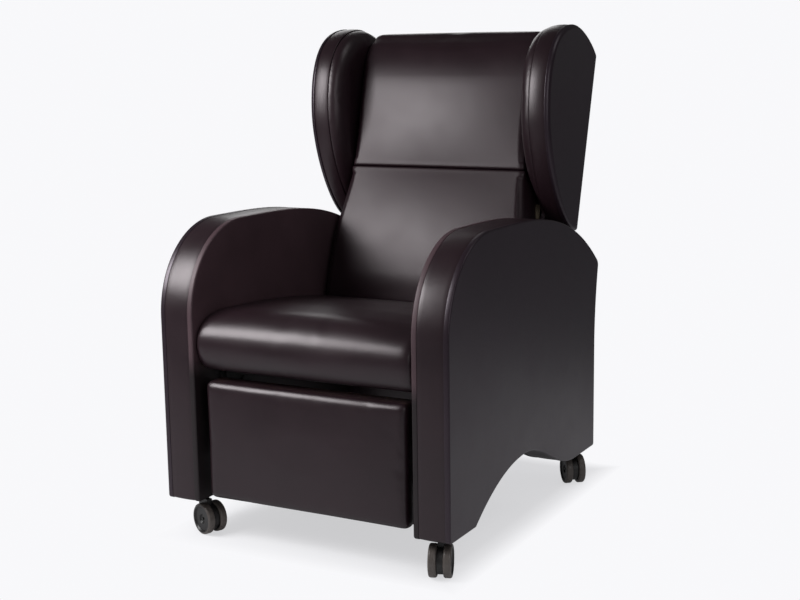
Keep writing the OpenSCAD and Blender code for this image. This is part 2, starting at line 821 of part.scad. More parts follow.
module caster_body() {
    collar_low = caster_drop - gap - collar_h;
    color(plastic_black) {
        across(-web_w / 2, web_w / 2) union() {
            translate(axle_place) circle(r = web_r);
            polygon([[-collar_r, collar_low], [-collar_r + web_w / 2, axle_place.y],
                axle_place, [axle_place.x, collar_low + collar_r / 2],
                [collar_r, collar_low + collar_r / 2],
                [collar_r, caster_drop - gap], [-collar_r, caster_drop - gap]]);
        }
        translate([0, 0, collar_low + collar_r / 2])
            cylinder(r = collar_r, h = collar_h - collar_r / 2);
    }
    color(steel) {
        translate([0, 0, caster_drop - gap]) cylinder(r = stem_r, h = stem_l);
        bar_x(axle_place, axle_r, -web_w / 2 - wheel_gap - wheel_w + dish,
            web_w / 2 + wheel_gap + wheel_w - dish);
    }
}

module wheel(side) {
    color(wheel_grey) translate([side * (web_w / 2 + wheel_gap), axle_place.x, axle_place.y])
        rotate([0, side * 90, 0]) rotate_extrude() polygon(concat([[axle_r + fit, 0],
            [wheel_r - tread_r, 0]],
            [for (a = [-60 : 30 : 0]) [wheel_r - tread_r + tread_r * cos(a), tread_r + tread_r * sin(a)]],
            [for (a = [0 : 30 : 90]) [wheel_r - tread_r + tread_r * cos(a),
                wheel_w - tread_r + tread_r * sin(a)]],
            [[wheel_r - rim_w, wheel_w], [wheel_r - rim_w - dish, wheel_w - dish],
            [hub_r + dish, wheel_w - dish], [hub_r, wheel_w - 2 * dish],
            [axle_r + fit, wheel_w - 2 * dish]]));
}

side_frame();  // left_side_frame
on_side(-1) side_frame();  // right_side_frame
outer_panel();  // left_outer_panel
on_side(-1) outer_panel();  // right_outer_panel
inner_panel();  // left_inner_panel
on_side(-1) inner_panel();  // right_inner_panel
arm_band();  // left_arm_band
on_side(-1) arm_band();  // right_arm_band
color(wood) rail(front_rail_y, seat_low, rail_h);  // front_seat_rail
color(wood) rail(rear_rail_y, seat_low, rail_h);  // rear_seat_rail
color(vinyl) rail(base_rail_y, base_rail_low, base_rail_h);  // rear_base_rail
seat_springs();
seat_cushion();
mechanism_plate();  // left_mechanism_plate
on_side(-1) mechanism_plate();  // right_mechanism_plate
crank_pivot_pins();
back_pivot_bolts();
caster_sockets();
back_post();  // left_back_post
on_side(-1) back_post();  // right_back_post
back_rail(post_high - post_d);  // top_back_rail
back_rail(-post_d / 2);  // lower_back_rail
back_webbing();
lumbar_pad();
head_pad();
wing_panel();  // left_wing_panel
on_side(-1) wing_panel();  // right_wing_panel
wing_band();  // left_wing_band
on_side(-1) wing_band();  // right_wing_band
wing_pad();  // left_wing_pad
on_side(-1) wing_pad();  // right_wing_pad
rear_cover();
back_bracket();  // left_back_bracket
on_side(-1) back_bracket();  // right_back_bracket
footrest_board();
footrest_pad();
footrest_bracket();  // left_footrest_bracket
on_side(-1) footrest_bracket();  // right_footrest_bracket
rear_crank();  // left_rear_crank
on_side(-1) rear_crank();  // right_rear_crank
torque_tube();
front_crank();  // left_front_crank
on_side(-1) front_crank();  // right_front_crank
carrier_bar();  // left_carrier_bar
on_side(-1) carrier_bar();  // right_carrier_bar
stay_bar();  // left_stay_bar
on_side(-1) stay_bar();  // right_stay_bar
carrier_pins();
at_swivel(caster_x, front_swivel_y, front_left_angle) caster_body();  // front_left_caster_body
at_swivel(caster_x, front_swivel_y, front_left_angle) wheel(1);  // front_left_outer_wheel
at_swivel(caster_x, front_swivel_y, front_left_angle) wheel(-1);  // front_left_inner_wheel
at_swivel(-caster_x, front_swivel_y, front_right_angle) caster_body();  // front_right_caster_body
at_swivel(-caster_x, front_swivel_y, front_right_angle) wheel(-1);  // front_right_outer_wheel
at_swivel(-caster_x, front_swivel_y, front_right_angle) wheel(1);  // front_right_inner_wheel
at_swivel(caster_x, rear_swivel_y, rear_left_angle) caster_body();  // rear_left_caster_body
at_swivel(caster_x, rear_swivel_y, rear_left_angle) wheel(1);  // rear_left_outer_wheel
at_swivel(caster_x, rear_swivel_y, rear_left_angle) wheel(-1);  // rear_left_inner_wheel
at_swivel(-caster_x, rear_swivel_y, rear_right_angle) caster_body();  // rear_right_caster_body
at_swivel(-caster_x, rear_swivel_y, rear_right_angle) wheel(-1);  // rear_right_outer_wheel
at_swivel(-caster_x, rear_swivel_y, rear_right_angle) wheel(1);  // rear_right_inner_wheel
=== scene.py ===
# Wing-back reflexology recliner in dark brown-black vinyl, in metres and in the model's own frame.
import math

import bmesh
import bpy
from mathutils import Matrix, Vector


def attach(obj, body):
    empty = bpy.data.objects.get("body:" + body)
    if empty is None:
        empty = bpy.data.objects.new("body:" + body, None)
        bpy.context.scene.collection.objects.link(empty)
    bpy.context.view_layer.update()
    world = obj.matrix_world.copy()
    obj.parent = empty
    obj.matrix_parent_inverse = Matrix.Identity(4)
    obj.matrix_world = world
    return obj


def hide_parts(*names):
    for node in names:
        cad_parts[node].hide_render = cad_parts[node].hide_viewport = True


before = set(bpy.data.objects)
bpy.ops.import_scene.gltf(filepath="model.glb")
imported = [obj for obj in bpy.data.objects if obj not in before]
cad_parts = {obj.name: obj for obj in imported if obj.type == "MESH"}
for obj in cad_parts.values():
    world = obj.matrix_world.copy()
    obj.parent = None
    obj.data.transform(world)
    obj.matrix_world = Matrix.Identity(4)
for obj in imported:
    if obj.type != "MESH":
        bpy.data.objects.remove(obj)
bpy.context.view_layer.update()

# Camera. It stands at the photograph's place, a little above the wings and off the chair's left front.
camera_turn = math.radians(28.70)
camera_tilt = math.radians(10.24)
camera_roll = math.radians(0.89)
camera_place = Vector((1.5435, -2.8151, 1.0638))
ahead = Vector((-math.sin(camera_turn) * math.cos(camera_tilt),
                math.cos(camera_turn) * math.cos(camera_tilt), -math.sin(camera_tilt)))
level_right = Vector((math.cos(camera_turn), math.sin(camera_turn), 0))
level_down = ahead.cross(level_right)
picture_right = level_right * math.cos(camera_roll) + level_down * math.sin(camera_roll)
picture_down = level_down * math.cos(camera_roll) - level_right * math.sin(camera_roll)
turned = Matrix((picture_right, -picture_down, -ahead)).transposed().to_4x4()
camera = bpy.data.objects.new("camera", bpy.data.cameras.new("camera"))
camera.data.lens = 63.05
camera.data.sensor_width = 36
camera.data.clip_end = 60
camera.matrix_world = Matrix.Translation(camera_place) @ turned
bpy.context.collection.objects.link(camera)
bpy.context.scene.camera = camera
bpy.context.scene.view_settings.view_transform = "Standard"


# Upholstery vinyl. A coated fabric with a fine pebbled grain and a soft satin sheen, nearly black with a
# trace of brown and plum, used on every padded face of the chair. The boards at the sides lean to violet.
def new_material(name):
    material = bpy.data.materials.new(name)
    material.use_nodes = True
    return material, material.node_tree, material.node_tree.nodes["Principled BSDF"]


def add(tree, kind, **values):
    node = tree.nodes.new(kind)
    for key, value in values.items():
        if key in node.inputs:
            node.inputs[key].default_value = value
        else:
            setattr(node, key, value)
    return node


def ramp(tree, source, stops):
    node = tree.nodes.new("ShaderNodeValToRGB")
    while len(node.color_ramp.elements) < len(stops):
        node.color_ramp.elements.new(0.5)
    for element, (place, colour) in zip(node.color_ramp.elements, stops):
        element.position = place
        element.color = (*colour, 1)
    tree.links.new(source, node.inputs["Fac"])
    return node


def grey(value):
    return (value, value, value)


def vinyl_material(name, colour, roughness, grain, sheen, gloss=0.5):
    material, tree, skin = new_material(name)
    place = add(tree, "ShaderNodeTexCoord")
    patches = add(tree, "ShaderNodeTexNoise", Scale=7.0, Detail=3.0, Roughness=0.55)
    pebbles = add(tree, "ShaderNodeTexVoronoi", Scale=620.0, Randomness=1.0)
    fine = add(tree, "ShaderNodeTexNoise", Scale=900.0, Detail=4.0, Roughness=0.6)
    soft = add(tree, "ShaderNodeTexNoise", Scale=38.0, Detail=2.0, Roughness=0.5)
    for texture in (patches, pebbles, fine, soft):
        tree.links.new(place.outputs["Object"], texture.inputs["Vector"])
    darker = tuple(c * 0.82 for c in colour)
    lighter = tuple(c * 1.15 for c in colour)
    tint = ramp(tree, patches.outputs["Fac"], [(0.3, darker), (0.7, lighter)])
    tree.links.new(tint.outputs["Color"], skin.inputs["Base Color"])
    duller = grey(roughness + 0.035)
    glossier = grey(roughness - 0.035)
    worn = ramp(tree, patches.outputs["Fac"], [(0.3, glossier), (0.7, duller)])
    tree.links.new(worn.outputs["Color"], skin.inputs["Roughness"])
    rise = add(tree, "ShaderNodeMath", operation="MULTIPLY_ADD")
    rise.inputs[1].default_value = 0.6
    tree.links.new(pebbles.outputs["Distance"], rise.inputs[0])
    tree.links.new(fine.outputs["Fac"], rise.inputs[2])
    pebbled = add(tree, "ShaderNodeBump", Strength=grain, Distance=0.0002)
    tree.links.new(rise.outputs["Value"], pebbled.inputs["Height"])
    waved = add(tree, "ShaderNodeBump", Strength=0.10, Distance=0.0012)
    tree.links.new(soft.outputs["Fac"], waved.inputs["Height"])
    tree.links.new(pebbled.outputs["Normal"], waved.inputs["Normal"])
    tree.links.new(waved.outputs["Normal"], skin.inputs["Normal"])
    skin.inputs["Specular Tint"].default_value = (*sheen, 1)
    skin.inputs["Specular IOR Level"].default_value = gloss
    return material


plum_black = (0.0150, 0.0070, 0.0098)
violet_black = (0.0140, 0.0078, 0.0118)
plum_sheen = (1.0, 0.93, 0.96)
violet_sheen = (1.0, 0.89, 1.0)
vinyl = vinyl_material("vinyl", plum_black, 0.36, 0.25, plum_sheen)
side_vinyl = vinyl_material("side_vinyl", violet_black, 0.35, 0.30, violet_sheen)


# Arms. Each is a plywood side under foam, with a flat board of vinyl on either face and a padded band that
# runs round the whole edge: up the front, over the bow, down the back and along the arch between the feet.
# The inner face has a paler copy of the vinyl as painted light, and below the seat it is painted near black
# as painted shade.
front_plane = -0.442
side_out = 0.350
side_in = 0.266
board_t = 0.012
board_edge_r = 0.0035
foot_r = 0.007
seam_r = 0.0005
band_crown = 0.0008
band_wall = 0.005
arm_h = 0.694
arm_d = 0.816
bow_r = 0.200
foot_h = 0.086
arch_rise = 0.090
arch_from = 0.120
arch_peak = 0.37365
arch_to = 0.665
heel_d = 0.795
flare_from = 0.330
corner_h = 0.534
corner_r = 0.020
crown_slope = math.radians(38.89)
crown_power = 3.4


def finish_piece(piece, material, slot, body, *nodes):
    piece.data.materials.clear()
    piece.data.materials.append(material)
    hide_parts(*nodes)
    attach(piece, body)


def as_piece(name, bm):
    bmesh.ops.recalc_face_normals(bm, faces=bm.faces)
    for face in bm.faces:
        face.smooth = True
    data = bpy.data.meshes.new(name)
    bm.to_mesh(data)
    bm.free()
    piece = bpy.data.objects.new(name, data)
    bpy.context.collection.objects.link(piece)
    return piece


def arm_side_view():
    """The arm's outline in depth and height, anticlockwise seen from the sitter's left."""
    points = [(foot_r * (1 - math.cos(a)), foot_h + foot_r * (1 - math.sin(a)))
              for a in (0, 0.4, 0.8, 1.2, math.pi / 2)]
    steps = 26
    for i in range(steps):
        y = arch_from + (arch_peak - arch_from) * i / steps
        points.append((y, foot_h + arch_rise * (1 - ((arch_peak - y) / (arch_peak - arch_from)) ** 2)))
    for i in range(steps + 1):
        t = i / steps
        y = arch_peak + (arch_to - arch_peak) * t
        points.append((y, foot_h + arch_rise / 2 * (1 + math.cos(math.pi * t))))
    points += [(heel_d - foot_r * (1 - math.sin(a)), foot_h + foot_r * (1 - math.cos(a)))
               for a in (0, 0.4, 0.8, 1.2, math.pi / 2)]
    for i in range(1, 9):
        s = i / 8
        points.append((heel_d + (arm_d - heel_d) * s * s, flare_from + (corner_h - flare_from) * s))
    core = (arm_d - corner_r, corner_h)
    for i in range(1, 5):
        a = (math.pi / 2 - crown_slope) * i / 5
        points.append((core[0] + corner_r * math.cos(a), core[1] + corner_r * math.sin(a)))
    end = (core[0] + corner_r * math.sin(crown_slope), core[1] + corner_r * math.cos(crown_slope))
    for i in range(40):
        y = end[0] + (bow_r - end[0]) * i / 40
        fall = (arm_h - end[1]) * ((y - bow_r) / (end[0] - bow_r)) ** crown_power
        points.append((y, arm_h - fall))
    for i in range(37):
        a = math.radians(90 + 90 * i / 36)
        points.append((bow_r + bow_r * math.cos(a), arm_h - bow_r + bow_r * math.sin(a)))
    return [(y + front_plane, z) for y, z in points]


def outline_board(name, outline, x_back, x_face, edge_r, back_r, place):
    """A wrapped board, rounded more at its face at x_face than at its back, where it meets the band."""
    bm = bmesh.new()
    back = bm.faces.new([bm.verts.new((x_back, y, z)) for y, z in outline])
    grown = bmesh.ops.extrude_face_region(bm, geom=[back], use_keep_orig=True)["geom"]
    bmesh.ops.translate(bm, verts=[g for g in grown if isinstance(g, bmesh.types.BMVert)],
                        vec=(x_face - x_back, 0, 0))
    face = [g for g in grown if isinstance(g, bmesh.types.BMFace)][0]
    for cap, radius in ((face, edge_r), (back, back_r)):
        bmesh.ops.bevel(bm, geom=list(cap.edges), offset=radius, segments=4, profile=0.5, affect="EDGES",
                        material=-1, clamp_overlap=False)
    bmesh.ops.transform(bm, matrix=place, verts=bm.verts)
    piece = as_piece(name, bm)
    for face in piece.data.polygons:
        face.use_smooth = len(face.vertices) < 5
    return piece


def outline_band(name, outline, x_low, x_high, edge_r, crown, place):
    """A padded band along an outline, rounded into both faces and crowned across."""
    stations = [0, 0.04, 0.12, 0.3, 0.6, 1]
    across = [edge_r * s for s in stations]
    flat = x_high - x_low - 2 * edge_r
    across += [edge_r + flat * i / 6 for i in range(1, 6)]
    across += [x_high - x_low - edge_r * s for s in reversed(stations)]
    bm = bmesh.new()
    ring = [bm.verts.new((x_low, y, z)) for y, z in outline]
    edges = [bm.edges.new((ring[i - 1], ring[i])) for i in range(len(ring))]
    for near, far in zip(across, across[1:]):
        grown = bmesh.ops.extrude_edge_only(bm, edges=edges)["geom"]
        edges = [g for g in grown if isinstance(g, bmesh.types.BMEdge) and g.is_boundary]
        moved = {v for e in edges for v in e.verts}
        bmesh.ops.translate(bm, verts=list(moved), vec=(far - near, 0, 0))
    bmesh.ops.recalc_face_normals(bm, faces=bm.faces)
    bm.normal_update()
    middle = Vector((0, *(sum(c) / len(outline) for c in zip(*outline))))
    top = max(bm.verts, key=lambda v: v.co.z)
    if top.normal.dot(top.co - middle) < 0:
        bmesh.ops.reverse_faces(bm, faces=bm.faces)
        bm.normal_update()
    normals = {v: v.normal.copy() for v in bm.verts}
    for v, normal in normals.items():
        inside = min(v.co.x - x_low, x_high - v.co.x)
        drop = edge_r - math.sqrt(max(0, edge_r ** 2 - max(0, edge_r - inside) ** 2))
        share = 2 * (v.co.x - x_low) / (x_high - x_low) - 1
        v.co -= normal * (drop + crown * share * share)
    bmesh.ops.solidify(bm, geom=list(bm.faces), thickness=band_wall)
    bmesh.ops.transform(bm, matrix=place, verts=bm.verts)
    return as_piece(name, bm)


# Painted light: the inner faces take a paler copy of the plum-black vinyl, so that they read as lit.
painted_light_plum = (0.0560, 0.0310, 0.0375)
painted_shade_top = 0.37
inner_vinyl_painted_light_and_shade = vinyl_material("inner_vinyl_painted_light_and_shade", painted_light_plum, 0.50, 0.35, plum_sheen)
tree = inner_vinyl_painted_light_and_shade.node_tree
skin = tree.nodes["Principled BSDF"]
worked = skin.inputs["Base Color"].links[0].from_socket
place = add(tree, "ShaderNodeTexCoord")
parts = add(tree, "ShaderNodeSeparateXYZ")
tree.links.new(place.outputs["Object"], parts.inputs["Vector"])
# Painted shade: below the seat, the inner faces' colour is multiplied down to near black, where the seat
# shades them.
painted_shade_ramp = ramp(tree, parts.outputs["Z"], [(painted_shade_top, grey(0.12)), (painted_shade_top + 0.04, grey(1))])
painted_shade_mix = add(tree, "ShaderNodeMix", data_type="RGBA", blend_type="MULTIPLY")
painted_shade_mix.inputs[0].default_value = 1
tree.links.new(worked, painted_shade_mix.inputs[6])
tree.links.new(painted_shade_ramp.outputs["Color"], painted_shade_mix.inputs[7])
tree.links.new(painted_shade_mix.outputs[2], skin.inputs["Base Color"])

arm_outline = arm_side_view()
for side, left in ((1, "left"), (-1, "right")):
    mirror = Matrix.Diagonal((side, 1, 1, 1))
    outer = outline_board(left + "_arm_outer_face", arm_outline, side_out - board_t, side_out, board_edge_r,
                          seam_r, mirror)
    finish_piece(outer, side_vinyl, "side_vinyl", "base", left + "_outer_panel")
    inner = outline_board(left + "_arm_inner_face", arm_outline, side_in + board_t, side_in, board_edge_r,
                          seam_r, mirror)
    finish_piece(inner, inner_vinyl_painted_light_and_shade, "side_vinyl", "base", left + "_inner_panel")
    band = outline_band(left + "_arm_edge_band", arm_outline, side_in + board_t, side_out - board_t, seam_r,
                        band_crown, mirror)
    finish_piece(band, vinyl, "vinyl", "base", left + "_arm_band")


# Wings. Each is built like an arm, thinner: a board outside, a band round its edge, and a pad inside that
# swells from the band towards the back cushions. The whole back leans, so they are made upright and tilted.
back_lean = math.radians(16.2)
back_root = Vector((0, 0.530 + front_plane, 0.470))
leaning = Matrix.Translation(back_root) @ Matrix.Rotation(-back_lean, 4, "X")
wing_out = 0.317
wing_in = 0.267
back_t = 0.182
wing_reach = 0.078
wing_low = 0.2119
wing_l = 0.4621
wing_edge_r = 0.0105
wing_seam_r = 0.0012
wing_band_crown = 0.0018


def wing_point(across, along):
    return Vector((-wing_reach + across * (back_t + wing_reach), wing_low + along * wing_l))


def bow(a, b, c, d, steps):
    """Points on a cubic curve through two ends and two handles, without its last point."""
    made = []
    for i in range(steps):
        t = i / steps
        k = 1 - t
        made.append(k ** 3 * a + 3 * k * k * t * b + 3 * k * t * t * c + t ** 3 * d)
    return made


wing_widest = wing_point(0, 0.495)
wing_top = wing_point(0.407, 1)
wing_tip = wing_point(0.916, -0.006)
wing_heel = wing_point(1, 0.931)
wing_rim = (bow(wing_tip, wing_point(0.627, -0.022), wing_point(0.123, 0.256), wing_widest, 24)
            + bow(wing_widest, wing_point(-0.129, 0.744), wing_point(-0.036, 0.929), wing_top, 24)
            + bow(wing_top, wing_point(0.576, 1.024), wing_point(0.885, 0.984), wing_heel, 12))
wing_outline = [tuple(p) for p in [wing_point(1, 0), wing_heel] + wing_rim[::-1]]
for side, left in ((1, "left"), (-1, "right")):
    tilt = leaning @ Matrix.Diagonal((side, 1, 1, 1))
    outer = outline_board(left + "_wing_outer_face", wing_outline, wing_out - board_t, wing_out,
                          wing_edge_r, seam_r, tilt)
    finish_piece(outer, side_vinyl, "side_vinyl", "backrest", left + "_wing_panel")
    band = outline_band(left + "_wing_edge_band", wing_outline, wing_in, wing_out - board_t, wing_seam_r,
                        wing_band_crown, tilt)
    finish_piece(band, vinyl, "vinyl", "backrest", left + "_wing_band")


# Seat cushion. Foam under vinyl, cut to the room between the arms and pulled tight over a roll in front. The
# covering is blown up a little against the foam and held wherever it meets a frame or an arm.
def applied(piece):
    """Turns what the modifiers make into the piece's own mesh."""
    depsgraph = bpy.context.evaluated_depsgraph_get()
    made = bpy.data.meshes.new_from_object(piece.evaluated_get(depsgraph))
    piece.modifiers.clear()
    piece.data = made


def node_shape(node):
    """A merged copy of a CAD solid, to be remeshed."""
    bm = bmesh.new()
    bm.from_mesh(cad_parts[node].data)
    bmesh.ops.remove_doubles(bm, verts=bm.verts, dist=0.00001)
    return bm


def cushion(name, bm, voxel, room, cap, local=Matrix(), smoothing=3, calming=6):
    """A shape remeshed and swollen by cloth under pressure, kept inside room in the local frame."""
    steps = 20
    piece = as_piece(name, bm)
    remesh = piece.modifiers.new("even", "REMESH")
    remesh.mode = "VOXEL"
    remesh.voxel_size = voxel
    relax = piece.modifiers.new("relax", "SMOOTH")
    relax.factor = 0.5
    relax.iterations = smoothing
    applied(piece)
    start = [v.co.copy() for v in piece.data.vertices]
    cloth = piece.modifiers.new("cloth", "CLOTH")
    cloth.settings.quality = 5
    cloth.settings.mass = 0.3
    cloth.settings.tension_stiffness = 25
    cloth.settings.compression_stiffness = 25
    cloth.settings.shear_stiffness = 10
    cloth.settings.bending_stiffness = 2
    cloth.settings.use_pressure = True
    cloth.settings.uniform_pressure_force = 4
    cloth.settings.effector_weights.gravity = 0
    cloth.point_cache.frame_end = steps
    for step in range(1, steps + 1):
        bpy.context.scene.frame_set(step)
    applied(piece)
    bpy.context.scene.frame_set(1)
    to_local = local.inverted()
    low, high = room
    for v, origin in zip(piece.data.vertices, start):
        move = v.co - origin
        if move.length > cap:
            move *= cap / move.length
        spot = to_local @ (origin + move)
        spot = Vector(min(max(spot[i], low[i]), high[i]) for i in range(3))
        v.co = local @ spot
    calm = piece.modifiers.new("calm", "SMOOTH")
    calm.factor = 0.5
    calm.iterations = calming
    finer = piece.modifiers.new("finer", "SUBSURF")
    finer.levels = 1
    finer.render_levels = 1
    applied(piece)
    for face in piece.data.polygons:
        face.use_smooth = True
    return piece


def shift(piece, rule):
    """Moves each vertex of a piece by what the rule gives for its place and its normal."""
    moves = [rule(v.co, v.normal) for v in piece.data.vertices]
    for v, move in zip(piece.data.vertices, moves):
        v.co += move
    piece.data.update()


def held(share):
    """Holds a share between 0 and 1."""
    return min(1, max(0, share))


seat_room = (Vector((-0.2652, front_plane, 0.3772)), Vector((0.2652, 0.0765, 0.516)))
fold_y = front_plane + 0.150
fold_w = 0.045
fold_h = 0.0006


def seat_fold(co, normal):
    """Lifts a faint fold across the seat behind its roll, stronger on the sitter's left."""
    back = (co.y - fold_y) / fold_w
    across = held((co.x + 0.10) / 0.15)
    return Vector((0, 0, fold_h * across * math.exp(-back * back) * max(0, normal.z)))


seat = cushion("seat_pad", node_shape("seat_cushion"), 0.006, seat_room, 0.003, calming=14)
shift(seat, seat_fold)
finish_piece(seat, vinyl, "vinyl", "base", "seat_cushion")


# Back cushions. A lumbar pad and a head pad of foam, in one duller piece of vinyl that is sewn down along the
# seam between them and rolls back over the top. They lean with the back and narrow between the wings.
back_l = 0.673
seam = 0.3235
seam_half_gap = 0.0008
seam_corner_r = 0.018
seam_corner_power = 14
lumbar_foot = -0.033
lumbar_l = 0.355
head_foot = 0.325
head_l = 0.348
pad_crown = 0.010
pad_side_r = 0.020
side_power = 2.8
head_roll_r = 0.078
roll_from = 0.505
roll_l = 0.171
low_half_w = 0.258
seam_half_w = 0.229
top_half_w = 0.222
seam_swell = 0.005
top_swell = 0.012
top_flare = 0.005
flare_foot = 0.600
flare_l = 0.073
lumbar_bend = 0.060
seam_draw_l = 0.220
seam_draw = 0.014


def back_half_w(u, seam_more=seam_swell, top_more=top_swell):
    """Half width of the back pads at a height up the slope: they narrow between the arms and the wings."""
    if u < wing_low:
        return low_half_w
    at_seam = seam_half_w + seam_more
    if u < seam:
        return low_half_w + (at_seam - low_half_w) * (u - wing_low) / (seam - wing_low)
    return at_seam + (top_half_w + top_more - at_seam) * (u - seam) / (back_l - seam)


def squarer(a, b, r, power):
    """Moves a point of a round corner, a and b from its centre, out onto a corner of smaller radius."""
    if a <= 0 or b <= 0:
        return a, b
    k = math.hypot(a, b) / (a ** power + b ** power) ** (1 / power)
    k = 1 + (k - 1) * min(1, math.hypot(a, b) / r)
    return a * k, b * k


def tight_corner(a, b, r, power):
    """Puts a point of a corner, a and b from its centre, onto a corner as tight as the power says."""
    if a <= 0 or b <= 0:
        return a, b
    k = r / (a ** power + b ** power) ** (1 / power)
    k = 1 + (k - 1) * min(1, 4 * min(a, b) / r)
    return a * k, b * k


def solid_roll(u):
    """How far back the solid's own roll lies at a height up the slope."""
    t = max(0, u - (back_l - head_roll_r))
    return head_roll_r - math.sqrt(max(0, head_roll_r ** 2 - t * t))


def drawn_in(u):
    """How far the covering is drawn in at a height: out at the small of the back, in at the seam and head."""
    if u < lumbar_bend:
        drawn = -0.0093 - 0.0586 * (lumbar_bend - u) + 1.9 * (lumbar_bend - u) ** 2
    elif u < seam:
        drawn = -0.0115 + 0.020 * ((u - 0.015) / (seam - 0.040)) ** 1.2
        drawn += 0.004 * max(0, (u - 0.115) / (seam - 0.115)) ** 2
    else:
        drawn = seam_draw * max(0, 1 - (u - seam) / seam_draw_l) ** 1.4
    if u > roll_from:
        s = min(1, (u - roll_from) / roll_l)
        wanted = head_roll_r * (1 - math.sqrt(max(0, 1 - s ** side_power)))
        drawn += max(0, wanted - solid_roll(u))
    return drawn


def back_pad_front(co, normal):
    """Draws the front of the back pads tight into the seam and the sides, and rolls it back at the top."""
    x, v, u = leaning.inverted() @ co
    facing = -(leaning.to_3x3().transposed() @ normal).y
    side = -1 if x < 0 else 1
    x *= back_half_w(u) / back_half_w(u, 0, 0)
    along = (u - lumbar_foot) / lumbar_l if u < seam else (u - head_foot) / head_l
    crown = pad_crown * math.sin(math.pi * held(along)) * (1 - (x / back_half_w(u)) ** 2)
    v += (solid_roll(u) - crown - v) * held((facing - 0.86) / 0.10)
    across = abs(x) - (back_half_w(u) - pad_side_r)
    deep = pad_side_r - v
    a, b = squarer(across, deep, pad_side_r, side_power)
    x = side * (abs(x) + a - across + top_flare * held((u - flare_foot) / flare_l) ** 2)
    v -= b - deep
    rounding = held(a / pad_side_r) ** side_power
    face = pad_side_r * (1 - (1 - rounding) ** (1 / side_power)) - crown
    up = 1 if u < seam else -1
    near = up * (u - seam) + seam_half_gap + seam_corner_r
    deep = face + seam_corner_r - v
    a, b = tight_corner(near, deep, seam_corner_r, seam_corner_power)
    u += up * (a - near)
    v -= b - deep
    v += drawn_in(u) * held((0.085 - v) / 0.060)
    return leaning @ Vector((x, v, u)) - co


back_vinyl = vinyl_material("back_vinyl", plum_black, 0.38, 0.25, plum_sheen, gloss=0.36)
lumbar_room = (Vector((-0.2585, -0.012, -0.0335)), Vector((0.2585, 0.094, 0.3225)))
head_room = (Vector((-0.2295, -0.014, 0.3245)), Vector((0.2295, 0.1696, 0.676)))
for node, name, voxel, room in (("lumbar_pad", "lumbar_cushion", 0.0051, lumbar_room),
                                ("head_pad", "head_cushion", 0.005, head_room)):
    pad = cushion(name, node_shape(node), voxel, room, 0.002, leaning, calming=12)
    shift(pad, back_pad_front)
    finish_piece(pad, back_vinyl, "vinyl", "backrest", node)


# Pads inside the wings. Each is a thick roll sewn along the wing's band, bulging forward beside it, and as
# deep as the space between the wing and the back pads. It covers the post from the arm up.
wing_pad_t = 0.0415
wing_pad_r = 0.0395
wing_pad_back = 0.093
wing_pad_step = 0.603
wing_pad_top_back = 0.166
wing_pad_middle = 0.4415
wing_pad_spare = 0.012
crease = 0.0006


def against_band(co, normal):
    """Flattens a wing pad where it meets the band, so that only a thin crease stays between them."""
    place = leaning.inverted() @ co
    over = abs(place.x) - (wing_in - crease)
    if over > 0:
        place.x -= math.copysign(over, place.x)
    return leaning @ place - co


for side, left in ((1, "left"), (-1, "right")):
    bm = bmesh.new()
    rim = []
    for v, u in wing_outline:
        back = wing_pad_back if u < wing_pad_step else wing_pad_top_back
        rim.append((back + (min(v, back) - back) * 0.988, wing_pad_middle + (u - wing_pad_middle) * 0.990))
    ring = [bm.verts.new((wing_in + wing_pad_spare, v, u)) for v, u in rim]
    bm.faces.new(ring)
    bmesh.ops.remove_doubles(bm, verts=bm.verts, dist=0.0004)
    grown = bmesh.ops.extrude_face_region(bm, geom=bm.faces[:], use_keep_orig=True)["geom"]
    far_side = [g for g in grown if isinstance(g, bmesh.types.BMFace)][0]
    bmesh.ops.translate(bm, verts=far_side.verts[:], vec=(-wing_pad_t - wing_pad_spare, 0, 0))
    bmesh.ops.recalc_face_normals(bm, faces=bm.faces)
    bmesh.ops.bevel(bm, geom=list(far_side.edges), offset=wing_pad_r, segments=6, profile=0.5, affect="EDGES",
                    material=-1, clamp_overlap=False)
    for v in bm.verts:
        u = v.co.z
        share = (wing_in - back_half_w(u) - 0.002) / wing_pad_t
        v.co.x = wing_in - (wing_in - v.co.x) * min(1, share)
    bmesh.ops.transform(bm, matrix=leaning @ Matrix.Diagonal((side, 1, 1, 1)), verts=bm.verts)
    ends = sorted((side * (wing_in - wing_pad_t - 0.0005), side * (wing_in + wing_pad_spare)))
    wing_room = (Vector((ends[0], -0.0900, 0.2100)), Vector((ends[1], wing_pad_top_back, 0.670)))
    pad = cushion(left + "_wing_inner_pad", bm, 0.004, wing_room, 0.0010, leaning, smoothing=5, calming=10)
    shift(pad, against_band)
    finish_piece(pad, vinyl, "vinyl", "backrest", left + "_wing_pad")


# Footrest. A thin foam pad on a board, both wrapped in the same vinyl. It hangs below the front of the seat
# and swings up on the linkage.
def dress(name, material):
    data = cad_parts[name].data
    data.materials.clear()
    data.materials.append(material)


footrest_room = (Vector((-0.2505, front_plane + 0.004, 0.0925)),
                 Vector((0.2505, front_plane + 0.049, 0.3635)))
footrest = cushion("footrest_cushion", node_shape("footrest_pad"), 0.005, footrest_room, 0.003)
finish_piece(footrest, vinyl, "vinyl", "footrest", "footrest_pad")
dress("footrest_board", vinyl)


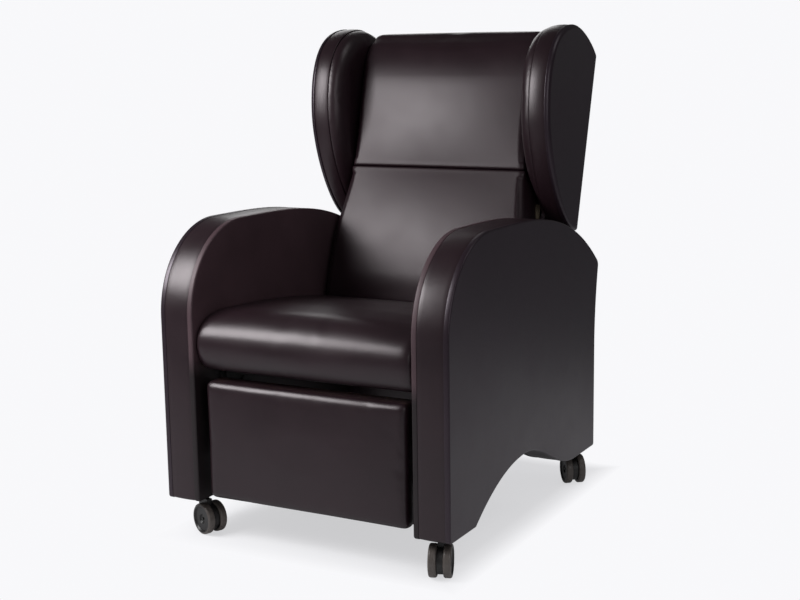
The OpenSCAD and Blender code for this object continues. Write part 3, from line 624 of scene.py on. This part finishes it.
# Back of the chair. A board wrapped in vinyl closes the back from the wings down to below the seat, thin
# strips close its sides, and a wrapped rail ties the two arms together low down.
trim_size = (0.0012, 0.0735, 0.270)
trim_x = 0.2552
cover_outline = [(-0.258, -0.130), (0.258, -0.130), (0.258, 0.2132), (0.2664, 0.2132), (0.2664, 0.620),
                 (-0.2664, 0.620), (-0.2664, 0.2132), (-0.258, 0.2132)]
facing = Matrix(((0, 1, 0, 0), (1, 0, 0, 0), (0, 0, 1, 0), (0, 0, 0, 1)))
cover = outline_board("back_cover", cover_outline, back_t - board_t, back_t, 0.004, 0.002, leaning @ facing)
finish_piece(cover, side_vinyl, "side_vinyl", "backrest", "rear_cover")
dress("rear_base_rail", vinyl)
for side, left in ((1, "left"), (-1, "right")):
    bm = bmesh.new()
    bmesh.ops.create_cube(bm, size=1, matrix=Matrix.Diagonal((*trim_size, 1)))
    bmesh.ops.bevel(bm, geom=bm.edges[:], offset=0.0005, segments=2, profile=0.5, affect="EDGES", material=-1)
    bmesh.ops.translate(bm, verts=bm.verts, vec=(side * trim_x, 0.1325, 0.115))
    bmesh.ops.transform(bm, matrix=leaning, verts=bm.verts)
    trim = as_piece(left + "_back_side_trim", bm)
    trim.data.materials.append(vinyl)
    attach(trim, "backrest")


# Frame. Plywood sides, planed beech rails, posts wrapped in vinyl and elastic webbing across the back. All of
# it is hidden while the chair is upright, except from below.
def wood_material(name, light, dark, stretch, roughness):
    material, tree, skin = new_material(name)
    place = add(tree, "ShaderNodeTexCoord")
    mapping = add(tree, "ShaderNodeMapping")
    mapping.inputs["Scale"].default_value = stretch
    grain = add(tree, "ShaderNodeTexNoise", Scale=14.0, Detail=8.0, Roughness=0.62, Distortion=0.6)
    tree.links.new(place.outputs["Object"], mapping.inputs["Vector"])
    tree.links.new(mapping.outputs["Vector"], grain.inputs["Vector"])
    tint = ramp(tree, grain.outputs["Fac"], [(0.3, dark), (0.7, light)])
    tree.links.new(tint.outputs["Color"], skin.inputs["Base Color"])
    rise = add(tree, "ShaderNodeBump", Strength=0.2, Distance=0.0005)
    tree.links.new(grain.outputs["Fac"], rise.inputs["Height"])
    tree.links.new(rise.outputs["Normal"], skin.inputs["Normal"])
    skin.inputs["Roughness"].default_value = roughness
    return material


plywood = wood_material("plywood", (0.62, 0.46, 0.27), (0.43, 0.29, 0.15), (1, 8, 1), 0.7)
beech = wood_material("beech", (0.70, 0.52, 0.33), (0.54, 0.37, 0.21), (1, 9, 9), 0.6)
for name in ("left_side_frame", "right_side_frame"):
    dress(name, plywood)
for name in ("front_seat_rail", "rear_seat_rail", "top_back_rail", "lower_back_rail"):
    dress(name, beech)
for name in ("left_back_post", "right_back_post"):
    dress(name, side_vinyl)

webbing, tree, skin = new_material("webbing")
place = add(tree, "ShaderNodeTexCoord")
ribs = add(tree, "ShaderNodeTexWave", Scale=160.0, bands_direction="X")
tree.links.new(place.outputs["Object"], ribs.inputs["Vector"])
tint = ramp(tree, ribs.outputs["Fac"], [(0.2, (0.10, 0.075, 0.05)), (0.8, (0.24, 0.19, 0.13))])
tree.links.new(tint.outputs["Color"], skin.inputs["Base Color"])
rise = add(tree, "ShaderNodeBump", Strength=0.5, Distance=0.0005)
tree.links.new(ribs.outputs["Fac"], rise.inputs["Height"])
tree.links.new(rise.outputs["Normal"], skin.inputs["Normal"])
skin.inputs["Roughness"].default_value = 0.9
dress("back_webbing", webbing)


# Link mechanism. Pressed steel plates, bars, tube and pins in black powder coat, with bare zinc-plated bolts,
# carrier pins and caster sockets, and springs of grey wire under the seat.
def steel_material(name, colour, metal, roughness, streak):
    material, tree, skin = new_material(name)
    place = add(tree, "ShaderNodeTexCoord")
    mapping = add(tree, "ShaderNodeMapping")
    mapping.inputs["Scale"].default_value = streak
    marks = add(tree, "ShaderNodeTexNoise", Scale=60.0, Detail=6.0, Roughness=0.6)
    tree.links.new(place.outputs["Object"], mapping.inputs["Vector"])
    tree.links.new(mapping.outputs["Vector"], marks.inputs["Vector"])
    tint = ramp(tree, marks.outputs["Fac"], [(0.3, tuple(c * 0.82 for c in colour)), (0.7, colour)])
    tree.links.new(tint.outputs["Color"], skin.inputs["Base Color"])
    worn = ramp(tree, marks.outputs["Fac"], [(0.3, grey(roughness + 0.08)), (0.7, grey(roughness - 0.05))])
    tree.links.new(worn.outputs["Color"], skin.inputs["Roughness"])
    skin.inputs["Metallic"].default_value = metal
    return material


zinc = steel_material("zinc_steel", (0.58, 0.59, 0.61), 1.0, 0.34, (1, 6, 1))
coated = steel_material("dark_steel", (0.012, 0.012, 0.013), 0.0, 0.60, (1, 1, 1))
wire = steel_material("spring_steel", (0.16, 0.165, 0.175), 1.0, 0.38, (1, 4, 1))
for name in ("back_pivot_bolts", "caster_sockets", "carrier_pins"):
    dress(name, zinc)
for name in ("left_rear_crank", "right_rear_crank", "torque_tube", "left_front_crank", "right_front_crank",
             "left_carrier_bar", "right_carrier_bar", "left_stay_bar", "right_stay_bar",
             "left_mechanism_plate", "right_mechanism_plate", "left_back_bracket", "right_back_bracket",
             "left_footrest_bracket", "right_footrest_bracket", "crank_pivot_pins"):
    dress(name, coated)
dress("seat_springs", wire)


# Casters. Two nylon wheels on one axle, with a grey-brown tread round a dark dished face, and a black hooded
# body between them that turns on a steel stem.
swivels = {"front_left": (0.300, 0.062, 200), "front_right": (-0.300, 0.062, 248),
           "rear_left": (0.300, 0.763, 218), "rear_right": (-0.300, 0.763, 142)}
wheel_r = 0.035
trail = 0.024
tread_grey = (0.088, 0.075, 0.068)

housing, tree, skin = new_material("caster_black")
place = add(tree, "ShaderNodeTexCoord")
grains = add(tree, "ShaderNodeTexNoise", Scale=700.0, Detail=2.0)
tree.links.new(place.outputs["Object"], grains.inputs["Vector"])
rise = add(tree, "ShaderNodeBump", Strength=0.15, Distance=0.0002)
tree.links.new(grains.outputs["Fac"], rise.inputs["Height"])
tree.links.new(rise.outputs["Normal"], skin.inputs["Normal"])
tint = ramp(tree, grains.outputs["Fac"], [(0.3, (0.012, 0.011, 0.011)), (0.7, (0.020, 0.018, 0.018))])
tree.links.new(tint.outputs["Color"], skin.inputs["Base Color"])
skin.inputs["Roughness"].default_value = 0.45


def wheel_material(name, middle, angle, tread):
    """Tread and rim take the grey-brown nylon and the face inside the rim the dark one, by their radius."""
    material, tree, skin = new_material(name)
    place = add(tree, "ShaderNodeTexCoord")
    centred = add(tree, "ShaderNodeMapping", vector_type="TEXTURE")
    centred.inputs["Location"].default_value = middle
    centred.inputs["Rotation"].default_value = (0, 0, angle)
    parts = add(tree, "ShaderNodeSeparateXYZ")
    flat = add(tree, "ShaderNodeCombineXYZ")
    radius = add(tree, "ShaderNodeVectorMath", operation="LENGTH")
    tree.links.new(place.outputs["Object"], centred.inputs["Vector"])
    tree.links.new(centred.outputs["Vector"], parts.inputs["Vector"])
    tree.links.new(parts.outputs["Y"], flat.inputs["Y"])
    tree.links.new(parts.outputs["Z"], flat.inputs["Z"])
    tree.links.new(flat.outputs["Vector"], radius.inputs[0])
    scaled = add(tree, "ShaderNodeMath", operation="DIVIDE")
    scaled.inputs[1].default_value = wheel_r
    tree.links.new(radius.outputs["Value"], scaled.inputs[0])
    tint = ramp(tree, scaled.outputs["Value"], [(0.86, (0.012, 0.011, 0.011)), (0.90, tread)])
    tree.links.new(tint.outputs["Color"], skin.inputs["Base Color"])
    skin.inputs["Roughness"].default_value = 0.38
    skin.inputs["Specular IOR Level"].default_value = 0.45
    return material


for corner, (x, y, degrees) in swivels.items():
    angle = math.radians(degrees)
    middle = (x - trail * math.sin(angle), y + front_plane + trail * math.cos(angle), wheel_r)
    nylon = wheel_material(corner + "_wheel_grey", middle, angle, tread_grey)
    dress(corner + "_caster_body", housing)
    dress(corner + "_outer_wheel", nylon)
    dress(corner + "_inner_wheel", nylon)


# Studio. A pale floor that fades into a pale surround, a square soft light in front on the sitter's right,
# and weaker ones in front on the left, above and behind.
floor_colour = (0.94, 0.94, 0.96)
bm = bmesh.new()
bmesh.ops.create_grid(bm, x_segments=1, y_segments=1, size=40)
floor = as_piece("studio_floor", bm)
material, tree, skin = new_material("studio_floor")
skin.inputs["Roughness"].default_value = 0.9
skin.inputs["Specular IOR Level"].default_value = 0.1
place = add(tree, "ShaderNodeTexCoord")
inward = add(tree, "ShaderNodeVectorMath", operation="ABSOLUTE")
beyond = add(tree, "ShaderNodeVectorMath", operation="SUBTRACT")
beyond.inputs[1].default_value = (0.30, 0.40, 0)
axes = add(tree, "ShaderNodeSeparateXYZ")
distance = add(tree, "ShaderNodeMath", operation="MAXIMUM")
tree.links.new(place.outputs["Object"], inward.inputs[0])
tree.links.new(inward.outputs["Vector"], beyond.inputs[0])
tree.links.new(beyond.outputs["Vector"], axes.inputs["Vector"])
tree.links.new(axes.outputs["X"], distance.inputs[0])
tree.links.new(axes.outputs["Y"], distance.inputs[1])
seen_fade = ramp(tree, distance.outputs["Value"], [(0.0, grey(0.62)), (0.03, grey(0.72)), (0.08, grey(1))])
far = add(tree, "ShaderNodeMath", operation="MULTIPLY")
far.inputs[1].default_value = 0.25
tree.links.new(distance.outputs["Value"], far.inputs[0])
mirrored_fade = ramp(tree, far.outputs["Value"], [(0.0, grey(0.06)), (0.025, grey(0.46)),
                                                    (0.13, grey(0.40)), (0.36, grey(0))])
rays = add(tree, "ShaderNodeLightPath")
mirrored = add(tree, "ShaderNodeMath", operation="MAXIMUM")
tree.links.new(rays.outputs["Is Glossy Ray"], mirrored.inputs[0])
tree.links.new(rays.outputs["Is Transmission Ray"], mirrored.inputs[1])
paint = add(tree, "ShaderNodeMix", data_type="RGBA")
paint.inputs[6].default_value = (*floor_colour, 1)
paint.inputs[7].default_value = (0.45, 0.45, 0.46, 1)
tree.links.new(mirrored.outputs["Value"], paint.inputs[0])
tree.links.new(paint.outputs[2], skin.inputs["Base Color"])
seen_share = add(tree, "ShaderNodeMath", operation="MULTIPLY")
tree.links.new(seen_fade.outputs["Color"], seen_share.inputs[0])
tree.links.new(rays.outputs["Is Camera Ray"], seen_share.inputs[1])
share = add(tree, "ShaderNodeMath", operation="MULTIPLY_ADD")
tree.links.new(mirrored_fade.outputs["Color"], share.inputs[0])
tree.links.new(mirrored.outputs["Value"], share.inputs[1])
tree.links.new(seen_share.outputs["Value"], share.inputs[2])
glow = add(tree, "ShaderNodeEmission")
glow.inputs["Color"].default_value = (*floor_colour, 1)
mixed = add(tree, "ShaderNodeMixShader")
tree.links.new(share.outputs["Value"], mixed.inputs["Fac"])
tree.links.new(skin.outputs["BSDF"], mixed.inputs[1])
tree.links.new(glow.outputs["Emission"], mixed.inputs[2])
tree.links.new(mixed.outputs["Shader"], tree.nodes["Material Output"].inputs["Surface"])
floor.data.materials.append(material)

world = bpy.data.worlds.new("studio")
bpy.context.scene.world = world
world.use_nodes = True
tree = world.node_tree
surround = tree.nodes["Background"]
place = add(tree, "ShaderNodeTexCoord")
parts = add(tree, "ShaderNodeSeparateXYZ")
tree.links.new(place.outputs["Generated"], parts.inputs["Vector"])
wall = ramp(tree, parts.outputs["Z"], [(0.0, grey(0.14)), (0.20, grey(0.07))])
rays = add(tree, "ShaderNodeLightPath")
mirrored = add(tree, "ShaderNodeMath", operation="MAXIMUM")
tree.links.new(rays.outputs["Is Glossy Ray"], mirrored.inputs[0])
tree.links.new(rays.outputs["Is Transmission Ray"], mirrored.inputs[1])
room_light = add(tree, "ShaderNodeMix", data_type="RGBA")
room_light.inputs[6].default_value = (0.21, 0.21, 0.22, 1)
tree.links.new(mirrored.outputs["Value"], room_light.inputs[0])
tree.links.new(wall.outputs["Color"], room_light.inputs[7])
backdrop = add(tree, "ShaderNodeMix", data_type="RGBA")
backdrop.inputs[7].default_value = (*floor_colour, 1)
tree.links.new(rays.outputs["Is Camera Ray"], backdrop.inputs[0])
tree.links.new(room_light.outputs[2], backdrop.inputs[6])
tree.links.new(backdrop.outputs[2], surround.inputs["Color"])


def soft_light(name, place, aim, width, height, power):
    lamp = bpy.data.lights.new(name, "AREA")
    lamp.shape = "RECTANGLE"
    lamp.size = width
    lamp.size_y = height
    lamp.energy = power
    light = bpy.data.objects.new(name, lamp)
    turn = (Vector(aim) - Vector(place)).to_track_quat("-Z", "Y")
    light.matrix_world = Matrix.Translation(place) @ turn.to_matrix().to_4x4()
    light.visible_camera = False
    bpy.context.collection.objects.link(light)


soft_light("front_light", (-1.05, -1.27, 1.44), (0, -0.1, 0.75), 0.85, 0.85, 33)
soft_light("fill_light", (1.75, -1.45, 1.35), (0, 0, 0.6), 1.0, 1.4, 8)
soft_light("side_light", (1.9, 0.5, 3.2), (0, 0, 0.5), 1.4, 1.4, 8)
soft_light("back_light", (-1.4, 2.4, 1.9), (0, 0, 0.6), 1.4, 1.4, 12)
